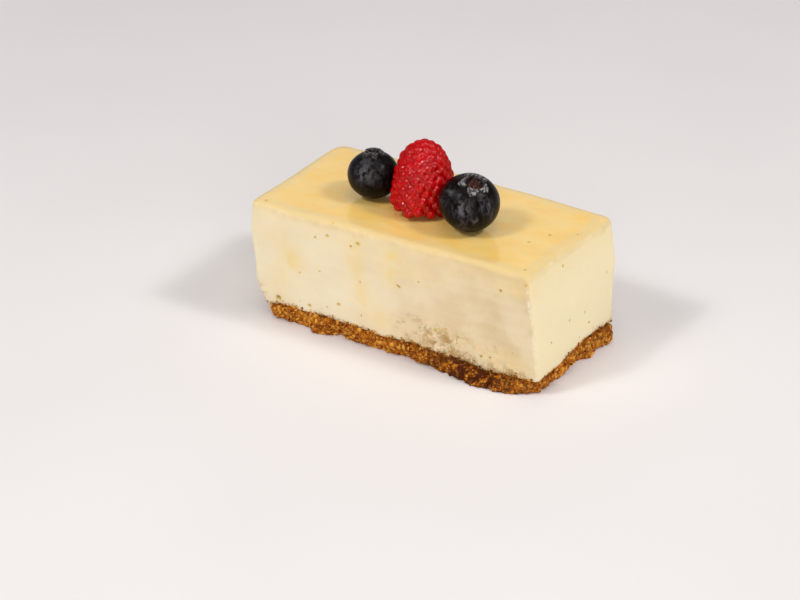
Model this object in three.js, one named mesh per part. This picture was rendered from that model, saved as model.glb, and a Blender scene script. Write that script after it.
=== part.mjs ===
// A baked cheesecake bar: a pale filling on a pressed biscuit base, with two blueberries and a raspberry on
// top. Millimetres, +Z up. +X runs along the bar, and the long cut face that is seen first looks along -Y.
// The origin is under the middle of the whole, on the surface that it stands on.
import * as THREE from "three";
import { ImprovedNoise } from "three/addons/math/ImprovedNoise.js";
import { mergeVertices } from "three/addons/utils/BufferGeometryUtils.js";

// The bar.
const barLength = 94.6;
const barWidth = 46;
const barHeight = 39.5;
const topEdgeRound = 1.7;
const topUnevenness = 0.15;
const topLump = 17;
const sideUnevenness = 0.4;
const sideLump = 11;

// The upright edges: soft where the bar is at the tin's side, and sharp where the knife left the near
// corner.
const cornerRound = { frontLeft: 2, backLeft: 3.4, frontRight: 0.9, backRight: 1 };

// How far the cut faces stray from a true block. Both ends were cut with the knife held at a slant, so the
// bar leans a little to its left, and each face swells in the middle and draws in again just over the base.
const leftEndStray = { topOut: 0.7, swell: 1.5, tuckFront: 2.8, tuckBack: 1.2 };
const rightEndStray = {
  topFront: -1.1,
  topBack: 0.4,
  slantFront: 5.2,
  slantBack: 2.6,
  swellBack: 1.3,
  tuckFront: 1.3,
};
const frontStray = { topTwist: 1.3, footIn: 1.3, footTurn: 0.3, footBow: 0.9 };
const backStray = { out: 2.2, bow: 1.5, footIn: 2 };
const flake = { y: 22.5, z: 26, reach: 3, out: 0.9 };

// The biscuit base under the filling. Its top is level from some way inside the cut faces, and wanders near
// them.
const baseHeight = 5.4;
const baseCornerRound = 4.2;
const baseThinLeft = { by: 0.9, from: -48, to: -36 };
const levelInside = 9;
const wanderSizes = { long: 10, short: 5 };
const wanderHeights = { long: 0.5, short: 0.15 };
const rimLumpSizes = { long: 4.5, short: 2 };
const rimLumpDepths = { long: 0.6, short: 0.4 };
const rimBelly = 0.5;

// The crumbs in the base's rim: their smallest and largest radius, how many, how far they stand out as a
// share of their radius, and how steep their sides are. The rim's own points stray by crumbShift along the
// perimeter, and by levelStray of a level up or down.
const crumbRadius = { smallest: 0.9, largest: 2.1 };
const crumbCount = 130;
const crumbStandsOut = 0.5;
const crumbSteepness = 1.8;
const crumbShift = 0.5;
const levelStray = 0.15;

// Where the filling's foot dips or climbs at the cut sides, as places in the plan with a reach.
const footSteps = [
  { x: 34, y: -23, reach: 22, by: -1.7 },
  { x: 50, y: -10, reach: 8, by: -0.7 },
  { x: 50, y: 10, reach: 18, by: 1.2 },
];

// Pieces that touch are this far apart.
const contactGap = 0.3;

// The berries. A blueberry is flatter than a ball, and its crown is the ring of dry lobes at one end.
// Each leans some degrees to the viewer's right and towards the viewer.
const leftBlueberry = { radius: 7.9, x: -19.28, y: -1.54, leanRight: 1, leanNear: 6, turn: 20 };
const rightBlueberry = { radius: 9.1, x: 16.16, y: -4.44, leanRight: 11, leanNear: 20, turn: 0 };
const flatness = 0.92;
const raspberryLength = 22.1;
const raspberryRadius = 9.1;
const raspberryWidest = 0.3 * raspberryLength;
const raspberryFootIn = 0.9;
const raspberryShoulder = { fullness: 2.6, bluntness: 0.52 };
const raspberryPlace = { x: -2.08, y: -2.25, leanRight: 6.5, leanNear: -6, turn: 0 };
const raspberryLump = 0.3;
const drupeletRadius = 1.6;
const drupeletRows = 9;
const drupeletCounts = [18, 12, 9, 6, 3];
const creaseDepth = 1;

// The viewer stands this many degrees to the right of the long face's normal.
const viewerAzimuth = 32.3;

const perlin = new ImprovedNoise();
const { lerp, clamp, smoothstep, degToRad } = THREE.MathUtils;

// Smooth noise from about -1 to 1, whose lumps are about size across. Each use has its own layer.
function lumps(x, y, z, size, layer) {
  return 1.6 * perlin.noise(x / size + 31.7 * layer, y / size + 5.3, z / size + 9.1);
}

// 1 at the centre, falling smoothly to 0 a reach away on either side.
function bump(value, centre, reach) {
  const far = Math.abs(value - centre) / reach;
  return far < 1 ? 1 - smoothstep(far, 0, 1) : 0;
}

// A repeatable random number from 0 to 1.
function seeded(seed) {
  let state = seed;
  return () => {
    state = (state * 16807) % 2147483647;
    return state / 2147483647;
  };
}

// Moves every vertex of a shape, and merges the vertices that the shape repeats along its seams.
function reshape(geometry, move) {
  geometry.deleteAttribute("normal");
  geometry.deleteAttribute("uv");
  const merged = mergeVertices(geometry, 1e-4);
  const position = merged.getAttribute("position");
  const point = new THREE.Vector3();
  for (let i = 0; i < position.count; i += 1) {
    const moved = move(point.fromBufferAttribute(position, i));
    position.setXYZ(i, moved.x, moved.y, moved.z);
  }
  return merged;
}

function piece(name, geometry, colour, roughness) {
  geometry.computeVertexNormals();
  const material = new THREE.MeshStandardMaterial({ color: colour, roughness, metalness: 0 });
  const mesh = new THREE.Mesh(geometry, material);
  mesh.name = name;
  return mesh;
}

// The bar's plan at any height. u runs from the left end (-1) to the right end (1), v from the front (-1)
// to the back (1), and h from the foot (0) to the top (1).

function leftEnd(v, h) {
  const swell = leftEndStray.swell * smoothstep(1 - h, 0, 0.3);
  const tuck = lerp(leftEndStray.tuckFront, leftEndStray.tuckBack, (v + 1) / 2);
  return -barLength / 2 - leftEndStray.topOut - swell + tuck * (1 - smoothstep(h, 0.1, 0.28));
}

function rightEnd(v, h) {
  const back = (v + 1) / 2;
  const top = barLength / 2 + lerp(rightEndStray.topFront, rightEndStray.topBack, back);
  const slant = lerp(rightEndStray.slantFront, rightEndStray.slantBack, back) * (1 - h);
  const swell = rightEndStray.swellBack * back * Math.sin(Math.PI * h);
  const tuck = rightEndStray.tuckFront * (1 - back) * (1 - smoothstep(h, 0, 0.3));
  return top + slant + swell - tuck;
}

function frontFace(u, h) {
  const twist = frontStray.topTwist * u * h;
  const foot = frontStray.footIn + frontStray.footTurn * u + frontStray.footBow * u * u;
  return -barWidth / 2 + twist + foot * (1 - h);
}

function backFace(u, h) {
  const bow = backStray.bow * (1 - u * u) * (0.4 + 0.6 * h);
  return barWidth / 2 + backStray.out + bow - backStray.footIn * (1 - h);
}

function planPoint(u, v, h) {
  return {
    x: lerp(leftEnd(v, h), rightEnd(v, h), (u + 1) / 2),
    y: lerp(frontFace(u, h), backFace(u, h), (v + 1) / 2),
  };
}

function cornerRadius(u, v) {
  if (u < 0) return v < 0 ? cornerRound.frontLeft : cornerRound.backLeft;
  return v < 0 ? cornerRound.frontRight : cornerRound.backRight;
}

// The small flake that the knife left standing on the back of the right end.
function flakeOut(place, z) {
  const onEnd = place.x > barLength / 2 - 2 ? 1 : 0;
  return flake.out * onEnd * bump(place.y, flake.y, flake.reach) * bump(z, flake.z, flake.reach);
}

function topHeight(x, y) {
  return barHeight + topUnevenness * lumps(x, y, 0, topLump, 4);
}

// The perimeter as points of the unit square, anticlockwise from the near right corner. The crowding, from
// 0 to 1, draws the points of a side towards its corners.
function perimeter(longSide, shortSide, crowding) {
  const points = [];
  const sides = [
    { steps: shortSide, at: (s) => [1, s] },
    { steps: longSide, at: (s) => [-s, 1] },
    { steps: shortSide, at: (s) => [-1, -s] },
    { steps: longSide, at: (s) => [s, -1] },
  ];
  for (const side of sides) {
    for (let i = 0; i < side.steps; i += 1) {
      const even = (2 * i) / side.steps - 1;
      points.push(side.at(lerp(even, Math.sin((Math.PI / 2) * even), crowding)));
    }
  }
  return points;
}

// Pulls a point of the square's edge onto the rounded corner, and then towards the middle by inset
// millimetres.
function rounded([u, v], inset, extraRound) {
  const halfLength = barLength / 2;
  const halfWidth = barWidth / 2;
  const radius = cornerRadius(u, v) + extraRound;
  const px = u * halfLength;
  const py = v * halfWidth;
  const qx = clamp(px, radius - halfLength, halfLength - radius);
  const qy = clamp(py, radius - halfWidth, halfWidth - radius);
  const away = Math.hypot(px - qx, py - qy);
  const reach = away > 0 ? radius / away : 0;
  const x = qx + (px - qx) * reach;
  const y = qy + (py - qy) * reach;
  return [(x / halfLength) * (1 - inset / halfLength), (y / halfWidth) * (1 - inset / halfWidth)];
}

// Where the filling meets the base. It is level inside and wanders a little near the cut sides.
function interfaceHeight(x, y) {
  const inside = Math.min(barLength / 2 - Math.abs(x), barWidth / 2 - Math.abs(y));
  const nearEdge = 1 - smoothstep(inside, 0, levelInside);
  const thinLeft = -baseThinLeft.by * (1 - smoothstep(x, baseThinLeft.from, baseThinLeft.to));
  const longWander = wanderHeights.long * lumps(x, y, 0, wanderSizes.long, 1);
  const shortWander = wanderHeights.short * lumps(x, y, 0, wanderSizes.short, 2);
  let steps = 0;
  for (const step of footSteps) steps += step.by * bump(Math.hypot(x - step.x, y - step.y), 0, step.reach);
  return baseHeight + nearEdge * (thinLeft + longWander + shortWander + steps);
}

// A shape closed like a drum: rings of the perimeter stacked from the foot to the top, and a centre at
// either end. ringPoint(point of the perimeter, ring) places a ring's vertex, and centre(isTop) the two
// ends.
function drum(points, rings, ringPoint, centre) {
  const base = new THREE.CylinderGeometry(1, 1, 1, points.length, rings - 1);
  return reshape(base, (vertex) => {
    if (Math.hypot(vertex.x, vertex.z) < 0.5) return centre(vertex.y > 0);
    const turn = Math.atan2(vertex.x, vertex.z) / (2 * Math.PI);
    const index = Math.round(turn * points.length + points.length) % points.length;
    return ringPoint(points[index], Math.round((vertex.y + 0.5) * (rings - 1)));
  });
}

// The filling's rings, from the middle of its underside, up the sides, round the top edge and over the top.
function fillingGeometry() {
  const points = perimeter(28, 14, 0.6);
  const underInsets = [levelInside, levelInside / 3];
  const sideLevels = 11;
  const roundSteps = 3;
  const topInsets = [4.5, 10, 16];
  const sideFoot = underInsets.length;
  const sideTop = sideFoot + sideLevels;
  const roundTop = sideTop + roundSteps;
  const rings = roundTop + topInsets.length;
  const shoulder = barHeight - topEdgeRound;

  function ringPoint(corner, ring) {
    const level = clamp((ring - sideFoot) / (sideLevels - 1), 0, 1);
    const roundAngle = (clamp(ring - sideTop + 1, 0, roundSteps) / roundSteps) * (Math.PI / 2);
    let inset = topEdgeRound * (1 - Math.cos(roundAngle));
    if (ring < sideFoot) inset = underInsets[ring];
    if (ring >= roundTop) inset = topInsets[ring - roundTop];
    const [u, v] = rounded(corner, inset, 0);
    const foot = planPoint(u, v, baseHeight / barHeight);
    const footHeight = interfaceHeight(foot.x, foot.y) + contactGap;
    let z = lerp(footHeight, shoulder, level) + topEdgeRound * Math.sin(roundAngle);
    const place = planPoint(u, v, z / barHeight);
    if (ring >= sideTop) z += topHeight(place.x, place.y) - barHeight;
    if (ring < sideFoot || ring >= roundTop) return new THREE.Vector3(place.x, place.y, z);
    const outward = new THREE.Vector2(u / barLength, v / barWidth).setLength(1);
    const uneven = sideUnevenness * lumps(place.x, place.y, z, sideLump, 3);
    return new THREE.Vector3(
      place.x + uneven * outward.x + flakeOut(place, z),
      place.y + uneven * outward.y,
      z,
    );
  }

  function centre(isTop) {
    return new THREE.Vector3(0, 0, isTop ? topHeight(0, 0) : baseHeight + contactGap);
  }
  return drum(points, rings, ringPoint, centre);
}

// Lumps and bites round the base, as places in the plan: how far the rim stands out there at the foot and
// at the filling, over a reach. Below zero is a bite.
const rimFeatures = [
  { x: -47, y: -22, reach: 9, foot: -2.8, top: 0.2 },
  { x: -25, y: -23, reach: 5, foot: 1.9, top: 0.3 },
  { x: -19, y: -23, reach: 3.4, foot: -2.6, top: -0.3 },
  { x: 6, y: -23, reach: 6, foot: -1.2, top: 0.3 },
  { x: 27, y: -23, reach: 15, foot: 2.6, top: 0.9 },
  { x: 34, y: -23, reach: 11, foot: 1.9, top: 0.4 },
  { x: 41, y: -23, reach: 7, foot: 1.9, top: 0.5 },
  { x: 51, y: -21, reach: 9, foot: -3, top: 0.7 },
  { x: 50, y: -11, reach: 11, foot: -1.8, top: -0.5 },
  { x: 50, y: 1, reach: 8, foot: -1.5, top: -0.5 },
  { x: 50, y: 8, reach: 2.4, foot: 1.4, top: 0.2 },
  { x: 50, y: 18, reach: 5, foot: 0.9, top: 1.1 },
  { x: 30, y: 24, reach: 6, foot: 1.6, top: 0.5 },
  { x: 4, y: 24, reach: 5, foot: -1.8, top: -0.4 },
  { x: -30, y: 24, reach: 7, foot: 1.5, top: 0.6 },
  { x: -48, y: 8, reach: 6, foot: 1.4, top: 0.5 },
];

function rimStandsOut(x, y, share) {
  const z = share * baseHeight;
  let out = rimLumpDepths.long * lumps(x, y, z, rimLumpSizes.long, 5);
  out += rimLumpDepths.short * lumps(x, y, z, rimLumpSizes.short, 6);
  for (const feature of rimFeatures) {
    const near = bump(Math.hypot(x - feature.x, y - feature.y), 0, feature.reach);
    out += near * lerp(feature.foot, feature.top, share);
  }
  return out;
}

// A point of the base's rim at a share of its height, from the foot (0) to the filling (1). The shift moves
// it along the perimeter.
function rimPoint(corner, share, crumbs, shift) {
  const [u, v] = rounded(corner, 0, baseCornerRound);
  const place = planPoint(u, v, (share * baseHeight) / barHeight);
  const onEnd = Math.abs(corner[0]) === 1 && Math.abs(corner[1]) < 0.93;
  const outward = new THREE.Vector2(Math.sign(corner[0]), 0);
  if (!onEnd) outward.set(place.x / (3 * barLength), Math.sign(corner[1])).normalize();
  const belly = rimBelly * Math.sin(Math.PI * share);
  const relief = crumbRelief(crumbs, new THREE.Vector3(place.x, place.y, share * baseHeight));
  const out = rimStandsOut(place.x, place.y, share) + belly + relief;
  const x = place.x + outward.x * out - outward.y * shift;
  const y = place.y + outward.y * out + outward.x * shift;
  return new THREE.Vector3(x, y, share * interfaceHeight(x, y));
}

// A point of the base's foot (share 0) or of its top (share 1), some millimetres inside the rim.
function insidePoint(corner, share, inset) {
  const [u, v] = rounded(corner, inset, baseCornerRound);
  const place = planPoint(u, v, (share * baseHeight) / barHeight);
  return new THREE.Vector3(place.x, place.y, share * interfaceHeight(place.x, place.y));
}

// The crumbs that stand out of the rim all round, each as its middle and its radius.
function rimCrumbs(random) {
  const points = perimeter(2 * Math.round(barLength), 2 * Math.round(barWidth), 0);
  const crumbs = [];
  for (let i = 0; i < crumbCount; i += 1) {
    const step = Math.floor((i + random()) * (points.length / crumbCount)) % points.length;
    const [u, v] = rounded(points[step], 0, baseCornerRound);
    const share = random();
    const place = planPoint(u, v, (share * baseHeight) / barHeight);
    const middle = new THREE.Vector3(place.x, place.y, share * baseHeight);
    crumbs.push({ middle, radius: lerp(crumbRadius.smallest, crumbRadius.largest, random()) });
  }
  return crumbs;
}

// How far the crumbs stand out at a point of the rim: each is a blunt lump with a steep side.
function crumbRelief(crumbs, point) {
  let out = 0;
  for (const { middle, radius } of crumbs) {
    const share = 1 - point.distanceTo(middle) / radius;
    out = Math.max(out, crumbStandsOut * radius * Math.min(1, crumbSteepness * share));
  }
  return out;
}

// The pressed base: a slab whose rim is broken up by crumbs, level at the foot.
function baseGeometry() {
  const random = seeded(4821);
  const crumbs = rimCrumbs(random);
  const points = perimeter(66, 34, 0.1);
  const sideLevels = 6;
  const topInsets = [levelInside / 3, levelInside];
  const rings = 1 + sideLevels + topInsets.length;
  function ringPoint(corner, ring) {
    if (ring === 0) return insidePoint(corner, 0, levelInside);
    if (ring > sideLevels) return insidePoint(corner, 1, topInsets[ring - sideLevels - 1]);
    const share = (ring - 1) / (sideLevels - 1);
    const onSide = ring > 1 && ring < sideLevels;
    const shift = crumbShift * (random() - 0.5);
    const rise = onSide ? (levelStray * (2 * random() - 1)) / (sideLevels - 1) : 0;
    return rimPoint(corner, share + rise, crumbs, shift);
  }
  return drum(points, rings, ringPoint, (isTop) => new THREE.Vector3(0, 0, isTop ? baseHeight : 0));
}

// A blueberry with its crown up, before it is turned: a flattened ball with a ring of five lobes round a
// hollow.
function blueberryGeometry(radius) {
  const crownAngle = degToRad(24);
  const crownReach = degToRad(13);
  const lobeHeight = 0.08 * radius;
  const hollowDepth = 0.17 * radius;
  const dentDepth = 0.02 * radius;
  return reshape(new THREE.SphereGeometry(radius, 28, 20), (vertex) => {
    const up = new THREE.Vector3(vertex.x, -vertex.z, vertex.y);
    const angle = Math.acos(clamp(up.z / radius, -1, 1));
    const around = Math.atan2(up.y, up.x);
    const lobes = 0.3 + 0.7 * Math.cos(2.5 * around) ** 2;
    const ring = lobeHeight * lobes * bump(angle, crownAngle, crownReach);
    const hollow = hollowDepth * (1 - smoothstep(angle, 0, crownAngle));
    const dent = dentDepth * lumps(up.x, up.y, up.z, radius, 7);
    up.setLength(radius + ring - hollow + dent);
    up.z *= flatness;
    return up;
  });
}

// Turns a berry that stands up, leans it over, and sets it down on the bar.
function setDown(geometry, place) {
  const azimuth = degToRad(viewerAzimuth);
  const viewerRight = new THREE.Vector3(Math.cos(azimuth), Math.sin(azimuth), 0);
  const viewerAway = new THREE.Vector3(-Math.sin(azimuth), Math.cos(azimuth), 0);
  geometry.rotateZ(degToRad(place.turn));
  geometry.applyMatrix4(new THREE.Matrix4().makeRotationAxis(viewerAway, degToRad(place.leanRight)));
  geometry.applyMatrix4(new THREE.Matrix4().makeRotationAxis(viewerRight, degToRad(place.leanNear)));
  geometry.computeBoundingBox();
  const lift = topHeight(place.x, place.y) + contactGap - geometry.boundingBox.min.z;
  return geometry.translate(place.x, place.y, lift);
}

// The raspberry's outer radius at a height above its foot: widest low down, and blunt at the tip.
function raspberryOutline(z) {
  const below = Math.max(0, raspberryWidest - z) / raspberryWidest;
  const up = clamp((z - raspberryWidest) / (raspberryLength - raspberryWidest), 0, 1);
  const { fullness, bluntness } = raspberryShoulder;
  return raspberryRadius * (1 - up ** fullness) ** bluntness - raspberryFootIn * below ** 2;
}

// The outline as even steps along its length, from the edge of the foot to the tip.
function outlineSteps(count) {
  const profile = [];
  const fineSteps = 200;
  for (let i = 0; i <= fineSteps; i += 1) {
    const z = raspberryLength * Math.sin((Math.PI / 2) * (i / fineSteps));
    profile.push(new THREE.Vector2(raspberryOutline(z), z));
  }
  const curve = new THREE.SplineCurve(profile);
  curve.arcLengthDivisions = 2 * fineSteps;
  return curve.getSpacedPoints(count);
}

// The drupelets' middles on the outline: rows that are ringsPerRow apart, each turned by half a drupelet
// from the last, with fewer in a row as the berry narrows, and one on the tip.
function drupeletPlaces(steps, ringsPerRow) {
  const places = [new THREE.Vector3(0, 0, raspberryLength)];
  for (let row = 0; row < drupeletRows; row += 1) {
    const step = steps[1 + row * ringsPerRow];
    const fits = (count) => (2 * Math.PI * step.x) / count > 1.6 * drupeletRadius;
    const count = drupeletCounts.find(fits) ?? 1;
    for (let i = 0; i < count; i += 1) {
      const angle = ((i + row / 2) / count) * 2 * Math.PI;
      places.push(new THREE.Vector3(step.x * Math.cos(angle), step.x * Math.sin(angle), step.y));
    }
  }
  return places;
}

// The berry is one skin: a ball stretched over the outline, flat at the foot, and raised over each drupelet
// into a dome that meets its neighbours in a crease.
function raspberryGeometry() {
  const ringsPerRow = 3;
  const footRings = 2;
  const sideRings = 1 + drupeletRows * ringsPerRow;
  const columns = 4 * drupeletCounts[0];
  const steps = outlineSteps(sideRings);
  const places = drupeletPlaces(steps, ringsPerRow);
  const rings = sideRings + footRings;
  const core = new THREE.Vector3(0, 0, 0.45 * raspberryLength);
  return reshape(new THREE.SphereGeometry(1, columns, rings), (vertex) => {
    const ring = rings - Math.round((Math.acos(clamp(vertex.y, -1, 1)) / Math.PI) * rings);
    const around = Math.atan2(-vertex.z, vertex.x);
    const onFoot = ring < footRings;
    const step = steps[Math.max(0, ring - footRings)];
    const radius = step.x * (onFoot ? ring / footRings : 1);
    const skin = new THREE.Vector3(radius * Math.cos(around), radius * Math.sin(around), step.y);
    if (onFoot) return skin;
    const away = Math.min(...places.map((place) => skin.distanceTo(place)));
    const dome = Math.sqrt(Math.max(0, 1 - (away / drupeletRadius) ** 2));
    const uneven = raspberryLump * lumps(skin.x, skin.y, skin.z, raspberryRadius, 8);
    return skin.addScaledVector(core.clone().sub(skin).normalize(), creaseDepth * (1 - dome) + uneven);
  });
}

const cheesecake = new THREE.Group();
cheesecake.add(piece("biscuit_base", baseGeometry(), 0x9a5a1c, 0.85));
cheesecake.add(piece("filling", fillingGeometry(), 0xf2deb4, 0.5));
for (const [name, place] of [
  ["blueberry_left", leftBlueberry],
  ["blueberry_right", rightBlueberry],
]) {
  cheesecake.add(piece(name, setDown(blueberryGeometry(place.radius), place), 0x1d2030, 0.45));
}
cheesecake.add(piece("raspberry", setDown(raspberryGeometry(), raspberryPlace), 0xb0060c, 0.3));

// The origin goes under the middle of the whole.
const whole = new THREE.Box3().setFromObject(cheesecake, true);
const middle = whole.getCenter(new THREE.Vector3());
cheesecake.position.set(-middle.x, -middle.y, -whole.min.z);

export default cheesecake;
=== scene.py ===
"""A baked cheesecake bar on a biscuit base, with two blueberries and a raspberry on top."""

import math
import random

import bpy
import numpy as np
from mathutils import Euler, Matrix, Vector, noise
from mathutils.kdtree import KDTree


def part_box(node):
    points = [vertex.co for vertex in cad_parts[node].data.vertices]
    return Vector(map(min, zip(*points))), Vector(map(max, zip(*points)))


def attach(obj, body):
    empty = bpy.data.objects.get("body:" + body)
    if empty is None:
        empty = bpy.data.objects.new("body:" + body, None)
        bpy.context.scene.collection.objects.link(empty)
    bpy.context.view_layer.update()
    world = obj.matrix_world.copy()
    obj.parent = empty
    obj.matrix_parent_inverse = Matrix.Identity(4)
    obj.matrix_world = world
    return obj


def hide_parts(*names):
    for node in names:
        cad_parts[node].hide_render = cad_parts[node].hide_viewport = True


bl_info = {
    "name": "Baked Cheesecake Bar",
    "version": (1, 0, 0),
    "blender": (4, 5, 0),
    "location": "3D View > Sidebar > Cheesecake",
    "description": "Makes a slice of baked cheesecake with berries, and the light table it stands on",
    "category": "Add Mesh",
}

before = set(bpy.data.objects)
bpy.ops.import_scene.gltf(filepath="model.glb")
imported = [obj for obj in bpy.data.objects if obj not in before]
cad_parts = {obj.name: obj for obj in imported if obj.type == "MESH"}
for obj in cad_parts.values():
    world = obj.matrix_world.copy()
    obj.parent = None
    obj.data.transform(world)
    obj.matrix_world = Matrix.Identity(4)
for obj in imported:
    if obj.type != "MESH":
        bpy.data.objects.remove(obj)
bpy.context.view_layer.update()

MM = 0.001
MERGE = 0.001 * MM

# The viewer stands this far to the right of the long cut face's normal, and this far above the table.
VIEW_AZIMUTH = math.radians(32.3)
VIEW_ELEVATION = math.radians(28.8)
VIEWER_RIGHT = Vector((math.cos(VIEW_AZIMUTH), math.sin(VIEW_AZIMUTH), 0))
VIEWER_AWAY = Vector((-math.sin(VIEW_AZIMUTH), math.cos(VIEW_AZIMUTH), 0))
TO_VIEWER = Vector((0, 0, math.sin(VIEW_ELEVATION))) - VIEWER_AWAY * math.cos(VIEW_ELEVATION)
VIEWER_UP = TO_VIEWER.cross(VIEWER_RIGHT)

# Heights that the looks are measured from.
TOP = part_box("filling")[1].z
SLAB_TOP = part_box("biscuit_base")[1].z
CRUST_TOP = 5.5 * MM

# The berries' solids stand this far above the cream, and the cream reaches this far down into the slab.
CONTACT_GAP = 0.3 * MM
UNDERSIDE_DROP = 0.4 * MM

# How much longer than its solid the bar is drawn, at its left end and at its far right corner.
LEFT_REACH = 1.3 * MM
RIGHT_REACH = 0.6 * MM

# Places on the cream's faces are measured from its middle, and heights from the table.
CREAM_LOW, CREAM_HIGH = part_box("filling")
CREAM_MIDDLE = Vector(((CREAM_LOW.x + CREAM_HIGH.x) / 2, (CREAM_LOW.y + CREAM_HIGH.y) / 2, 0))

# The long faces begin between these distances from the cream's middle, in millimetres, and the worn band at
# the top's edge is this high.
LONG_FACES = (18, 21)
EDGE_BAND = 2.5 * MM

# Bubbles that the knife opened, in millimetres: along the face, up it, how wide, and how dark the painted
# shade in its middle is from 0 to 1.
FRONT_PITS = (
    (-41.6, 7.6, 1.4, 0.9),
    (-39.9, 6.6, 0.6, 0.3),
    (-30.0, 8.2, 0.8, 0.5),
    (-19.1, 11.9, 0.85, 0.2),
    (-26.5, 33.1, 0.6, 0.3),
    (-22.3, 34.7, 0.75, 0.25),
    (-14.1, 33.3, 0.6, 0.4),
    (-11.5, 34.9, 0.95, 0.2),
    (36.9, 32.8, 0.7, 0.8),
    (44.8, 36.5, 0.6, 0.1),
    (9.3, 27.8, 0.4, 0.3),
    (-32.9, 19.0, 0.4, 0.2),
    (-11.2, 21.9, 0.4, 0.5),
    (-25.6, 21.5, 0.35, 0.3),
    (-23.4, 9.8, 0.4, 0.3),
    (15.2, 13.3, 0.9, 0.5),
    (18.6, 14.6, 0.6, 0.5),
    (22.7, 13.0, 0.6, 0.6),
    (35.0, 19.5, 0.35, 0.3),
    (30.4, 8.6, 0.7, 0.7),
    (33.3, 9.0, 0.6, 0.6),
)
# The slit's brown is painted shade in its middle, as in the pits.
SLIT = {"x": 2.5, "z": 24.5, "length": 1.2, "wide": 0.45, "tilt": -32, "brown": 0.9}
END_PITS = (
    (6.5, 12.2, 0.55, 0.9),
    (4.7, 16.4, 0.45, 0.4),
    (-3.8, 17.4, 0.5, 0.6),
    (-14.4, 14.9, 0.5, 0.5),
    (17.7, 24.0, 0.4, 0.4),
)
TOP_PITS = (
    (-45.6, -22.7, 0.9, 0.5),
    (38.0, 3.2, 0.8, 0.7),
    (35.0, -4.0, 0.7, 0.6),
    (47.0, -5.0, 0.6, 0.6),
    (44.6, 8.1, 0.6, 0.6),
    (42.6, -19.7, 0.6, 0.8),
    (-20.5, -23.7, 0.4, 0.2),
)
LOOSE_PITS = 20
LOOSE_PIT_SEED = 77

# A pit is cut by a ball that is this much wider than the tables say, and this thick for its width.
PIT_RIM = 1.25
PIT_THICKNESS = 0.8

# Rays that find the pits' places start this far from the cream's middle, in millimetres.
OUT_FRONT = 40
OUT_SIDE = 70
OUT_TOP = 60
INWARDS = {
    "front": Vector((0, 1, 0)),
    "back": Vector((0, -1, 0)),
    "left": Vector((1, 0, 0)),
    "end": Vector((-1, 0, 0)),
    "top": Vector((0, 0, -1)),
}

# Yellow stains in the long cut face, in millimetres: place along and up, half widths, and strength.
STAINS = (
    (-35.7, 22.5, 4.2, 3.6, 1.0),
    (-40.2, 29.0, 6.0, 4.0, 0.4),
    (-41.2, 15.0, 5.0, 6.0, 0.35),
    (0.4, 33.8, 2.6, 2.4, 1.0),
    (-12.7, 29.0, 3.0, 7.0, 0.8),
    (-10.7, 17.0, 2.4, 6.0, 0.7),
    (-0.7, 27.0, 3.0, 4.0, 0.6),
    (-4.2, 11.0, 3.5, 3.0, 0.8),
    (7.8, 30.0, 9.0, 3.0, 0.5),
    (40.8, 34.0, 5.0, 2.0, 0.6),
    (38.8, 9.0, 7.0, 4.0, 0.6),
    (24.8, 12.0, 6.0, 3.0, 0.4),
)

# The knife left fine ridges in the long cut face, paler streaks over it, and a burr on the near upright edge.
RIDGE_TILT = math.radians(24)
RIDGE_DEPTH = 0.05 * MM
STREAK_TURN = (0, math.radians(-17), 0)
BURR_HEIGHT = 0.2 * MM

# Waves of the cream's faces, as size and depth, over all of it and then in the torn patch alone.
CREAM_WAVES = (
    (7 * MM, 0.25 * MM, ""),
    (2.4 * MM, 2.6 * MM, "torn"),
    (1.0 * MM, 1.2 * MM, "torn"),
)

# Waves of the slab's surface, as kind, size and depth.
SLAB_WAVES = (
    ("CLOUDS", 2.2 * MM, 0.9 * MM),
    ("VORONOI", 1.1 * MM, 0.6 * MM),
)

# How many shapes of crumb there are, and the seed that draws and places them.
CRUMB_SHAPES = 7
CRUMB_SEED = 311

# Radii of crumbs: the rim's smallest, and the smallest and largest at the cream's foot and dragged up it.
RIM_CRUMB = 0.3 * MM
SEAM_CRUMBS = (0.25 * MM, 0.75 * MM)
DRAGGED_CRUMBS = (0.08 * MM, 0.34 * MM)

# The cream's sides are crumbed up to the first height, and measured from the slab up to the second.
CRUMBED_TO = 13 * MM
MEASURED_TO = 15 * MM

# Crumbs have tones from 0 to 1, and those that the knife dragged have this one.
DRAGGED_TONE = 1.5

# A blueberry's rings from foot to crown and over the crown, where the crown begins, and the steps around.
BODY_RINGS = 26
CROWN_RINGS = 42
CROWN_FROM = math.radians(42)
BERRY_AROUND = 96

# A blueberry's hollow, the nub in it and its dents are given in radii, and a dent also by how fine it is.
HOLLOW_DEPTH = 0.15
NUB_HEIGHT = 0.03
NUB_REACH = math.radians(4)
DENTS = ((1.6, 0.012), (5, 0.006))

# Drupelets are packed as closely as balls in a sheet, and a drupelet's radius is this share of their pitch.
PACKING = 0.87
DRUPELET_SHARE = 0.58
OUTLINE_STEPS = 600
RASPBERRY_SEED = 23

# The raspberry's core ends this many drupelet radii inside its outline and below its tip.
CORE_INSET = 1.5
CORE_BELOW_TIP = 1.4

# Soft lights: azimuth to the viewer's right and elevation in degrees, distance, width and height in metres,
# and the setting with the power.
LIGHTS = {
    "left box": (-62, 48, 1.1, 0.32, 0.32, "left_power"),
    "right box": (68, 50, 1.1, 0.32, 0.32, "right_power"),
    "front box": (4, 22, 1.3, 0.6, 0.4, "front_power"),
    "top box": (10, 75, 1.3, 0.6, 0.6, "top_power"),
    "back panel": (180, 30, 1.5, 0.9, 0.6, "back_power"),
    "left spark": (-62, 48, 1.0, 0.1, 0.1, "spark_power"),
    "right spark": (68, 50, 1.0, 0.1, 0.1, "spark_power"),
}


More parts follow.
